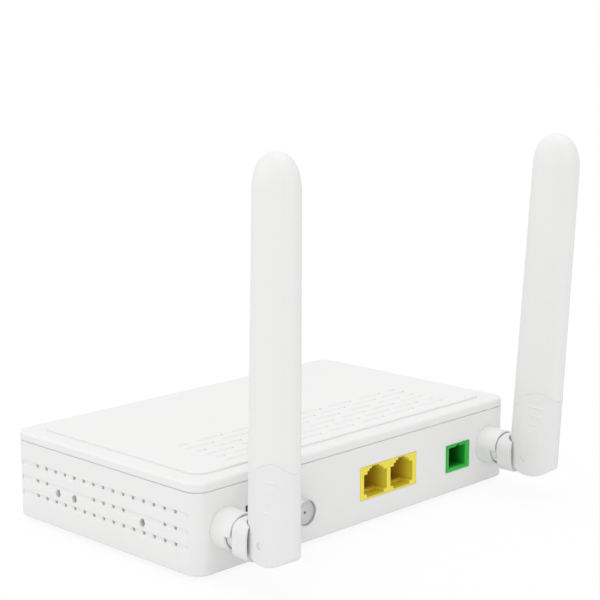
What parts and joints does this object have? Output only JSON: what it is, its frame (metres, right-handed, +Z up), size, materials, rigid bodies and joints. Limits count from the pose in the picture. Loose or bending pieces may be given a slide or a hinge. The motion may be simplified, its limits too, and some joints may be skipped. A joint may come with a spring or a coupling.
{
  "type": "optical network terminal",
  "caption": "White desk or wall fibre network box with louvred cover, ports along one side and paddle antennas that swivel and fold.",
  "frame": {"origin": "centre of the case footprint on the plane of the feet", "axes": "+X to the right when facing the port panel, the port panel faces -Y, +Z up"},
  "size_m": [0.1596, 0.1401, 0.1371],
  "materials": {
    "case_white": "fine matt moulded white",
    "antenna_white": "smooth moulded white",
    "foot_rubber": "matt rubber",
    "screw_steel": "plated steel",
    "board_green": "solder resist on glass fibre",
    "light_clear": "clear moulding",
    "chip_ivory": "small moulded light",
    "inlet_black": "moulded black",
    "contact_steel": "plated metal",
    "contact_gold": "gold-plated contact",
    "connector_nickel": "turned, nickel plated",
    "insulator_grey": "moulded insulator",
    "jack_yellow": "moulded yellow",
    "chip_black": "moulded package",
    "fibre_green": "moulded green",
    "sleeve_ceramic": "ceramic",
    "shield_steel": "tinned sheet",
    "pad_grey": "soft pad",
    "sink_aluminium": "black anodised",
    "capacitor_can": "drawn can",
    "ferrite_grey": "pressed ferrite",
    "plunger_black": "moulded plunger",
    "lead_grey": "jacketed coaxial lead"
  },
  "bodies": {
    "case": {"base_tray": "case_white", "top_cover": "case_white", "rubber_feet": "foot_rubber", "case_screws": "screw_steel", "main_board": "board_green", "board_screws": "screw_steel", "light_pipe": "light_clear", "status_leds": "chip_ivory", "dc_inlet_body": "inlet_black", "dc_inlet_pin": "contact_steel", "dc_inlet_spring": "contact_gold", "rf_connector_shell": "connector_nickel", "rf_connector_insulator": "insulator_grey", "rf_connector_contact": "contact_gold", "network_jack_housing": "jack_yellow", "network_jack_contacts": "contact_gold", "network_transformer": "chip_black", "fibre_receptacle": "fibre_green", "fibre_sleeve": "sleeve_ceramic", "optical_module": "contact_steel", "optical_shield": "shield_steel", "processor": "chip_black", "thermal_pad": "pad_grey", "heat_sink": "sink_aluminium", "memory_chip": "chip_black", "flash_chip": "chip_black", "wireless_shield": "shield_steel", "television_shield": "shield_steel", "filter_capacitors": "capacitor_can", "power_inductors": "ferrite_grey", "crystals": "shield_steel", "switch_bodies": "chip_black", "antenna_plugs": "contact_gold", "left_antenna_collar": "antenna_white", "left_antenna_lead": "lead_grey", "right_antenna_collar": "antenna_white", "right_antenna_lead": "lead_grey"},
    "left_antenna_base": {"left_antenna_knuckle": "antenna_white"},
    "left_antenna_blade": {"left_antenna_pin": "antenna_white", "left_antenna_foot": "antenna_white", "left_antenna_sleeve": "antenna_white", "left_antenna_element": "board_green"},
    "right_antenna_base": {"right_antenna_knuckle": "antenna_white"},
    "right_antenna_blade": {"right_antenna_pin": "antenna_white", "right_antenna_foot": "antenna_white", "right_antenna_sleeve": "antenna_white", "right_antenna_element": "board_green"},
    "wireless_button": {"wireless_switch_plunger": "plunger_black"},
    "pairing_button": {"pairing_switch_plunger": "plunger_black"},
    "reset_button": {"reset_switch_plunger": "plunger_black"}
  },
  "joints": [
    {"name": "left_antenna_swivel", "type": "hinge", "parent": "case", "child": "left_antenna_base", "pos_m": [-0.06755, -0.0485, 0.016], "axis": [0, 1, 0], "range_deg": [-76.1, 73.9]},
    {"name": "left_antenna_fold", "type": "hinge", "parent": "left_antenna_base", "child": "left_antenna_blade", "pos_m": [-0.06755, -0.0694, 0.016], "axis": [0.9998, 0, -0.0192], "range_deg": [0, 90]},
    {"name": "right_antenna_swivel", "type": "hinge", "parent": "case", "child": "right_antenna_base", "pos_m": [0.06755, -0.0485, 0.016], "axis": [0, 1, 0], "range_deg": [-70.8, 79.2]},
    {"name": "right_antenna_fold", "type": "hinge", "parent": "right_antenna_base", "child": "right_antenna_blade", "pos_m": [0.06755, -0.0694, 0.016], "axis": [0.9973, 0, 0.0732], "range_deg": [-6.4, 83.6]},
    {"name": "wireless_switch_press", "type": "slide", "parent": "case", "child": "wireless_button", "axis": [1, 0, 0], "range_m": [0, 0.00025], "stiffness_N_per_m": 6000},
    {"name": "pairing_switch_press", "type": "slide", "parent": "case", "child": "pairing_button", "axis": [1, 0, 0], "range_m": [0, 0.00025], "stiffness_N_per_m": 6000},
    {"name": "reset_switch_press", "type": "slide", "parent": "case", "child": "reset_button", "axis": [1, 0, 0], "range_m": [0, 0.00025], "stiffness_N_per_m": 6000}
  ]
}
